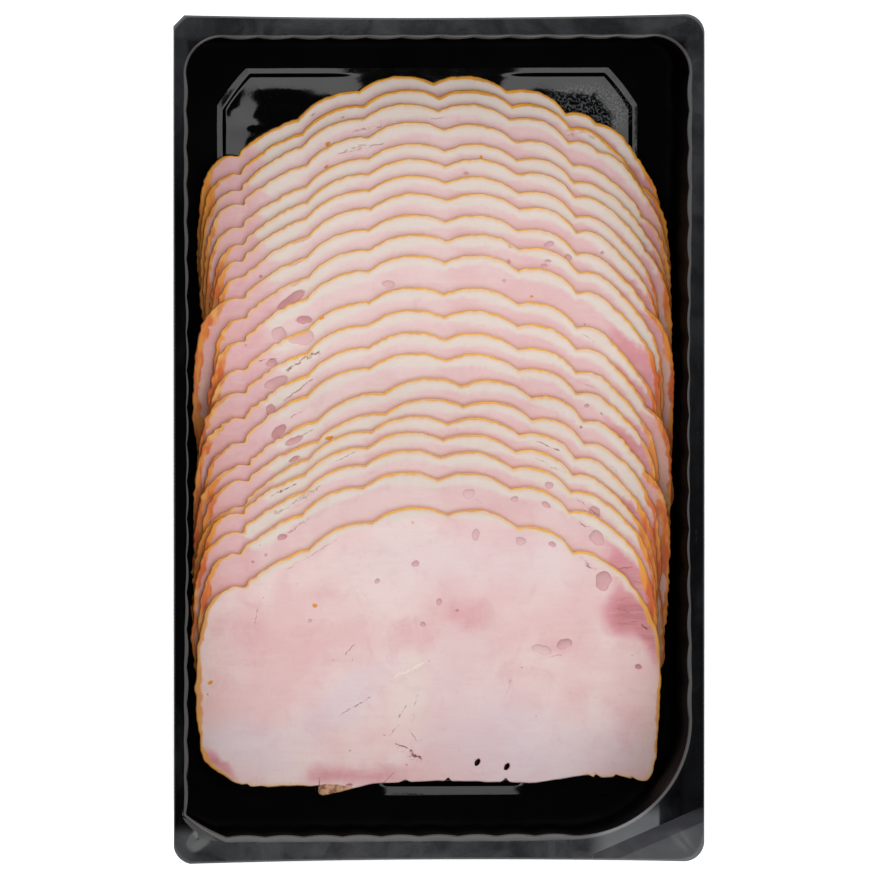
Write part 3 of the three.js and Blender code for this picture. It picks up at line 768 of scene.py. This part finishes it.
def tear_field(k, x, y):
    """For the nearest tear, how far a point is across it in half widths, how far inside its
    ends, and how dark the tear is."""
    tear = np.column_stack([np.full(len(x), FAR_AWAY), np.full(len(x), -1.0), np.zeros(len(x))])
    nearest = np.full(len(x), TEAR_REACH)
    for x0, y0, x1, y1, width, dark in TEARS.get(k + 1, []):
        length = math.hypot(x1 - x0, y1 - y0)
        along = ((x - x0) * (x1 - x0) + (y - y0) * (y1 - y0)) / length
        aside = ((y - y0) * (x1 - x0) - (x - x0) * (y1 - y0)) / length
        inside = np.minimum(along, length - along)
        away = np.hypot(aside, np.minimum(inside, 0))
        nearer = away < nearest
        nearest[nearer] = away[nearer]
        this = [aside / (TEAR_WIDENING * width), inside, np.full(len(x), dark)]
        tear[nearer] = np.column_stack(this)[nearer]
    return tear


def cut_outline(k, outline, inward, crown, notches):
    """The outline as the net and the knife left it: notches pressed in, a step at the leftmost
    one, a cut edge that wavers, and the top slice's nicks."""
    for notch in notches:
        away = np.linalg.norm(outline - notch, axis=1)
        outline = outline + inward * (NOTCH_DEPTH * np.exp(-away / NOTCH_SPREAD))[:, None]
    if len(notches):
        step = notches[notches[:, 0].argmin()]
        for aside, ahead, depth_in, spread in STEP_BENDS:
            away = np.linalg.norm(outline - step - (aside, ahead), axis=1)
            outline = outline + inward * (depth_in * np.exp(-((away / spread) ** 2)))[:, None]

    rng = np.random.default_rng(40 + k)
    turn = np.arange(OUTLINE_POINTS) / OUTLINE_POINTS * 2 * math.pi
    waver = 0
    for n in EDGE_WAVES:
        waver = waver + rng.normal() * np.sin(turn * n + rng.uniform(0, 6.3)) / n**0.5
    x, y = outline.T
    ragged = 0.2 + 0.22 * smooth_step(-35, -55, x) + 0.15 * smooth_step(50, 65, x)
    ragged = ragged - 0.08 * smooth_step(80, 85, crown - y)
    outline = outline + inward * (waver * ragged + 0.05)[:, None]
    if k == TOP - 1:
        for nick_x, nick_y, depth_in, half_width in NICKS:
            away = np.hypot(outline[:, 0] - nick_x, (outline[:, 1] - nick_y) / 3)
            depth = depth_in * np.exp(-((away / half_width) ** 2))
            outline = outline + inward * depth[:, None]
    return outline


def slice_piece(k, name):
    """One slice as rings over its CAD outline, with the fields that its material reads."""
    rim = cad_rims[name][0]
    crown = rim[:, 1].max()
    middle = (rim[:, 0].max() + rim[:, 0].min()) / 2
    outline = round_off(resample(rim[:, :2], OUTLINE_POINTS), OUTLINE_EASE)
    eased = round_off(outline, SPINE_EASE)
    centre = np.column_stack([
        np.clip(eased[:, 0], middle - SPINE_HALF, middle + SPINE_HALF),
        np.full(OUTLINE_POINTS, crown - SPINE_FROM_CROWN),
    ])
    inward = centre - eased
    depth = np.linalg.norm(inward, axis=1)
    inward /= depth[:, None]
    notches = net_notches(rim[:, :2], crown - NOTCH_REACH)
    detail = cut_outline(k, outline, inward, crown, notches) - eased

    # Rings from the rim to the spine: on top all of them, underneath a few.
    steps = [step / depth for step in RIM_STEPS]
    inner_count = TOP_INNER_RINGS if k == TOP - 1 else INNER_RINGS
    steps += [*np.linspace(steps[-1], SPINE_SHARE, inner_count + 1)[1:]]
    under = [*UNDERSIDE_RINGS, len(steps) - 1][::-1]
    share = np.array([steps[index] for index in under] + steps)[..., None]
    reach = share * depth[:, None]
    kept = smooth_step(DETAIL_REACH, 0, reach)
    flat = (eased + (centre - eased) * share + detail * kept).reshape(-1, 2)
    reach = reach.ravel()
    x, y = flat.T
    across, from_crown = x - middle, crown - y
    fields = {
        "coat": coat_field(k, x, y, across, from_crown, notches),
        "tone": tone_field(k, x, y, across, from_crown),
        "mark": mark_field(k, x, y),
        "tear": tear_field(k, x, y),
        "in_ham": np.column_stack([across, -from_crown, np.full(len(x), k * SLICE)]) * MM,
        "rim_distance": reach,
        "flap": smooth_step(0.5, -0.5, oval_distance(x, y, FLAP)) * (k == TOP - 1),
    }

    is_top = np.arange(len(flat)) >= len(under) * OUTLINE_POINTS
    rounding = np.clip(1 - reach / EDGE_RADIUS, 0, 1)
    drop = EDGE_RADIUS * (1 - np.sqrt(np.clip(1 - rounding**2, 0, 1)))
    from_pore, darkness = fields["mark"].T[:2]
    hollow = (PORE_DEPTH[1] * darkness + PORE_DEPTH[0]) * smooth_step(0.1, -1.1, from_pore)
    upper = bed_height(x, y) + k * layer
    top_z = upper - drop - hollow * smooth_step(0, 1.5, reach)
    z = np.where(is_top, top_z, upper - SLICE + drop)
    levels = (np.column_stack([flat, z]) * MM).reshape(-1, OUTLINE_POINTS, 3)
    piece = skin_over(f"ham_{name}", levels)
    for field, values in fields.items():
        kind, key = ("FLOAT_VECTOR", "vector") if values.ndim == 2 else ("FLOAT", "value")
        attribute = piece.data.attributes.new(field, kind, "POINT")
        attribute.data.foreach_set(key, values.astype(np.float32).ravel())
    return piece


def ham_material():
    """Meat, fat, skin and marks, laid out by the fields that slice_piece stores."""
    material, s, surface = new_material("cooked ham")
    within = s.attribute("in_ham", "Vector")
    through_stack = s.parts(within)["Z"]
    rim = s.attribute("rim_distance", "Fac")
    flap = s.attribute("flap", "Fac")
    skin_share, fat_depth, side = s.parts(s.attribute("coat", "Vector"))
    rosy, creamy, cool = s.parts(s.attribute("tone", "Vector"))
    pore_away, pore_dark, speck_away = s.parts(s.attribute("mark", "Vector"))
    tear_aside, tear_inside, tear_dark = s.parts(s.attribute("tear", "Vector"))

    # Meat: broad muscles, mottling between them, short fibres and tiny dark specks.
    muscle = s.noise(within, 34, 2, 0.5, 0.5)
    blotch = s.noise(within, 120, 4, 0.62, 0.9)
    grain = s.noise(within, 520, 3, 0.6)
    fibre = s.streaks(within, (1100, 260, 300), 0.6, 3, 0.6)
    meat = s.mix(s.ramp(muscle, 0.35, 0.65), (229, 205, 202), (225, 187, 186))
    meat = s.mix(s.ramp(blotch, 0.48, 0.72, 0, 0.4), meat, (214, 172, 174))
    # Painted shade: the slices below the top one are a little darker, in the shade of those above.
    fan_shade = s.ramp(through_stack, 28.2 * MM, 29 * MM, 0.31, 0)
    meat = s.mix(fan_shade, meat, (204, 164, 168))
    meat = s.mix(s.times(side, 0.45), meat, (226, 150, 104))
    meat = s.mix(s.times(creamy, 0.8), meat, (225, 207, 197))
    meat = s.mix(s.times(cool, 0.8), meat, (216, 198, 206))
    spread = s.plus(rosy, s.swing(blotch, 0.5))
    spread = s.times(spread, s.ramp(rosy, 0, 0.2))
    meat = s.mix(s.ramp(spread, 0.05, 0.9), meat, (214, 150, 156))
    strands = s.streaks(within, (60, 420, 300), -0.45, 4, 0.65)
    deep_rose = s.mix(s.ramp(strands, 0.35, 0.65), (186, 112, 120), (202, 132, 134))
    meat = s.mix(s.ramp(spread, 0.6, 1.5), meat, deep_rose)
    meat = s.mix(s.ramp(fibre, 0.56, 0.74, 0, 0.1), meat, (234, 218, 212))
    meat = s.mix(s.ramp(grain, 0.6, 0.75, 0, 0.16), meat, (200, 150, 152))

    # Fat, with a soft and wandering border to the meat.
    wander = s.swing(s.noise(within, 260, 4, 0.62), 2.6)
    into_fat = s.minus(s.plus(rim, wander), fat_depth)
    in_fat = s.ramp(into_fat, 0.9, -0.9)
    fat_colour = s.mix(blotch, (222, 211, 203), (214, 197, 187))
    colour = s.mix(s.times(in_fat, s.ramp(fat_depth, 0.2, 1.2)), meat, fat_colour)
    streaks = s.streaks(within, (90, 520, 300), 0.15, 4, 0.6, 1.2)
    colour = s.mix(s.ramp(streaks, 0.5, 0.72, 0, 0.12), colour, (234, 218, 212))
    colour = s.mix(s.ramp(streaks, 0.5, 0.3, 0, 0.1), colour, (206, 160, 158))

    # Pores, tears, specks of skin.
    uneven = s.minus(s.noise(within, 700, 3, 0.6), 0.5)
    pore = s.plus(pore_away, s.times(uneven, 0.35))
    floor_colour = s.mix(pore_dark, (222, 188, 190), (194, 131, 134))
    colour = s.mix(s.ramp(pore, 0.1, -0.2), colour, floor_colour)
    ring = s.times(s.ramp(pore, 0.2, 0.02), s.ramp(pore, -0.35, -0.08))
    ring = s.times(ring, s.ramp(pore_dark, 0, 0.7, 0.15, 0.35))
    colour = s.mix(ring, colour, (166, 94, 104))
    raggedness = s.times(uneven, 3)
    swerve = s.swing(s.noise(within, 420, 3, 0.6), 8)
    tear = s.maths("ABSOLUTE", s.plus(tear_aside, s.plus(raggedness, swerve)))
    tear = s.times(s.ramp(tear, 1.1, 0.3), s.ramp(s.plus(tear_inside, uneven), -0.1, 0.8))
    broken = s.ramp(s.noise(within, 620, 1), 0.4, 0.56, 0.25, 1)
    split = s.times(tear, broken, s.maths("MAXIMUM", tear_dark, 0))
    colour = s.mix(split, colour, (132, 62, 60))
    vein = s.times(tear, s.maths("MAXIMUM", s.times(tear_dark, -0.8), 0))
    colour = s.mix(vein, colour, (238, 226, 206))
    speckle = s.node("ShaderNodeTexVoronoi", Vector=within, Scale=170)
    near_speck = s.plus(speckle.outputs["Distance"], s.times(uneven, 0.1))
    chance = s.parts(speckle.outputs["Color"])["X"]
    dots = s.times(s.ramp(near_speck, 0.07, 0.03), s.ramp(chance, 0.72, 0.85))
    colour = s.mix(s.times(dots, 0.5), colour, (140, 78, 72))

    # Skin: dull gold on the arch, brighter on the first two slices, redder round the sides, with
    # painted highlights there. Its gold fades out through the fat next to it.
    first = s.ramp(through_stack, 1.8 * MM, 3 * MM, 1, 0)
    varied = s.ramp(s.noise(within, 110, 3), 0.3, 0.7, 0.25, 0.85)
    width = s.times(skin_share, s.plus(varied, s.times(first, 0.4)))
    edge = s.plus(rim, s.times(uneven, 0.5))
    glow = s.times(s.ramp(edge, 1.9, 0.3), s.ramp(skin_share, 0.1, 0.8))
    colour = s.mix(s.times(glow, 0.75), colour, (220, 178, 130))
    edge = s.maths("DIVIDE", edge, s.maths("MAXIMUM", width, 0.05))
    hue = s.noise(within, 90, 3)
    golden = s.mix(s.ramp(hue, 0.38, 0.62), (224, 163, 62), (208, 152, 86))
    bright = s.mix(s.ramp(hue, 0.4, 0.6), (228, 156, 22), (206, 138, 26))
    golden = s.mix(first, golden, bright)
    streak = s.streaks(within, (420, 90, 300), 0, 3, 0.6)
    smoked_with_highlights = s.mix(s.ramp(streak, 0.4, 0.6), (208, 92, 30), (230, 142, 52))
    # Pale yellow patches on the redder skin: painted highlights.
    smoked_with_highlights = s.mix(s.ramp(hue, 0.55, 0.68), smoked_with_highlights, (238, 182, 104))
    skin = s.mix(side, golden, smoked_with_highlights)
    colour = s.mix(s.ramp(edge, 1.1, 0.7), colour, skin)
    # A darker brown line at the very edge of the skin: painted shade along the rim's edge.
    colour = s.mix(s.ramp(edge, 0.12, 0, 0, 0.4), colour, (196, 138, 70))
    in_speck = s.plus(speck_away, s.times(uneven, 0.5))
    colour = s.mix(s.ramp(in_speck, 0.1, -0.1), colour, (214, 138, 34))
    rind = s.ramp(s.plus(flap, s.times(uneven, 1.2)), 0.35, 0.6)
    crust = s.ramp(s.noise(within, 420, 4, 0.7), 0.4, 0.65)
    rind_colour = s.mix(crust, (206, 158, 124), (126, 66, 40))
    colour = s.mix(rind, colour, rind_colour)

    s.give(surface, Base_Color=colour, Roughness=s.ramp(blotch, 0.35, 0.7, 0.42, 0.56))
    relief = s.plus(s.times(fibre, 0.05), s.times(grain, 0.05))
    relief = s.minus(relief, s.ramp(pore, 0.2, -0.35, 0, 0.16))
    s.bump(surface, relief, 0.8, MM)
    return material


def cut_holes(piece, holes):
    """Cut small leaning ovals right through a slice, where the CAD has its holes."""
    mesh = bpy.data.meshes.new("hole_cutters")
    places, faces = [], []
    turn = np.arange(HOLE_POINTS) / HOLE_POINTS * 2 * math.pi
    aside, ahead = HOLE_HALF[0] * np.cos(turn), HOLE_HALF[1] * np.sin(turn)
    cosine, sine = math.cos(math.radians(HOLE_LEAN)), math.sin(math.radians(HOLE_LEAN))
    oval = np.column_stack([aside * cosine - ahead * sine, aside * sine + ahead * cosine])
    for hole in holes:
        loop = (hole[:, :2].max(axis=0) + hole[:, :2].min(axis=0)) / 2 + oval
        height = hole[:, 2].mean()
        low = range(len(places), len(places) + HOLE_POINTS)
        high = range(low.stop, low.stop + HOLE_POINTS)
        places += [(x * MM, y * MM, (height + rise) * MM) for rise in (-3, 2) for x, y in loop]
        faces += [low[::-1], high]
        for n in range(HOLE_POINTS):
            after = (n + 1) % HOLE_POINTS
            faces.append([low[n], low[after], high[after], high[n]])
    mesh.from_pydata(places, [], faces)
    cutter = new_object("hole_cutters", mesh)
    cut = piece.modifiers.new("holes", "BOOLEAN")
    cut.operation = "DIFFERENCE"
    cut.solver = "EXACT"
    cut.object = cutter
    bpy.context.view_layer.update()
    graph = bpy.context.evaluated_depsgraph_get()
    solid = bpy.data.meshes.new_from_object(piece.evaluated_get(graph))
    piece.modifiers.remove(cut)
    piece.data = solid
    bpy.data.objects.remove(cutter)


ham = ham_material()
for k, name in enumerate(SLICE_NODES):
    piece = slice_piece(k, name)
    piece.data.materials.append(ham)
    holes = cad_rims[name][1:]
    if holes:
        cut_holes(piece, holes)
    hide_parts(name)
    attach(piece, "root")

# ---- The stage -----------------------------------------------------------
# A pale floor, one soft box at the near right, and pale walls all round. They are dark where
# the tray's floor mirrors them, so it stays black. The camera is nearly straight above.

TILT_LEFT, TILT_FAR = math.radians(7.5), math.radians(3.5)  # the camera's, off straight above
FLOOR_HALF = 3.0
floor_mesh = bpy.data.meshes.new("pale_floor")
floor_corners = [(x * FLOOR_HALF, y * FLOOR_HALF, 0) for x, y in CORNER_SIGNS]
floor_mesh.from_pydata(floor_corners, [], [(0, 1, 2, 3)])
floor = new_object("pale_floor", floor_mesh)
floor_material, pale, surface = new_material("pale floor")
pale.give(surface, Base_Color=srgb(253, 253, 253), Roughness=0.8)
# It glows like a light table, so it stays white round the tray.
pale.give(surface, Emission_Color=srgb(255, 255, 255), Emission_Strength=0.5)
floor_mesh.materials.append(floor_material)

BOX_ROUND, BOX_UP = math.radians(28), math.radians(46)  # from the near end, and above the floor
BOX_AWAY, BOX_SIZE, BOX_WATTS = 1.6, 0.7, 2
light = bpy.data.lights.new("near_right_box", "AREA")
light.shape = "RECTANGLE"
light.size = light.size_y = BOX_SIZE
light.energy = BOX_WATTS
outward = Matrix.Rotation(BOX_ROUND, 3, "Z") @ Vector((0, -math.cos(BOX_UP), math.sin(BOX_UP)))
box = new_object("near_right_box", light)
box.location = outward * BOX_AWAY
box.rotation_euler = outward.to_track_quat("Z", "Y").to_euler()

world = bpy.data.worlds.new("studio walls")
world.use_nodes = True
walls = Shading(world.node_tree)
background = world.node_tree.nodes["Background"]
looking = walls.node("ShaderNodeTexCoord").outputs["Generated"]
DARK_EDGE = (0.982, 0.97)  # the dark part fades out between these cosines
mirrored = (math.sin(TILT_LEFT), -math.sin(TILT_FAR), 0.99)
beside_it = walls.ramp(walls.dot(looking, mirrored), *DARK_EDGE, 0.01, 1)
far_share = walls.plus(walls.dot(looking, (0, 0.5, 0)), 1.1)  # brighter at the far end
walls.give(background, Color=srgb(255, 255, 255), Strength=walls.times(beside_it, far_share))
bpy.context.scene.world = world
bpy.context.scene.view_settings.view_transform = "Standard"

PHOTO_WIDTH = 273.4 * MM  # what the photo's frame spans at the height of the rim
PHOTO_MIDDLE = np.array([0.16, -0.31]) * MM  # where its middle lies there, right and up
ROLL = math.radians(0.25)
LENS = 1600  # in mm: long, as the photo hardly shows perspective
FAR_CLIP = 50
camera = new_object("camera", bpy.data.cameras.new("camera"))
camera.data.lens = LENS
distance = PHOTO_WIDTH * camera.data.lens / camera.data.sensor_width
back = Vector((-math.sin(TILT_LEFT), math.sin(TILT_FAR), 0))
back.z = math.sqrt(1 - back.length_squared)
right = Vector((0, 1, 0)).cross(back).normalized()
right = right * math.cos(ROLL) + back.cross(right) * math.sin(ROLL)
upward = back.cross(right)
aim = Vector((0, 0, RIM_TOP * MM)) + right * PHOTO_MIDDLE[0] + upward * PHOTO_MIDDLE[1]
turned = Matrix((right, upward, back)).transposed().to_4x4()
turned.translation = aim + back * distance
camera.matrix_world = turned
camera.data.clip_end = FAR_CLIP
bpy.context.scene.camera = camera
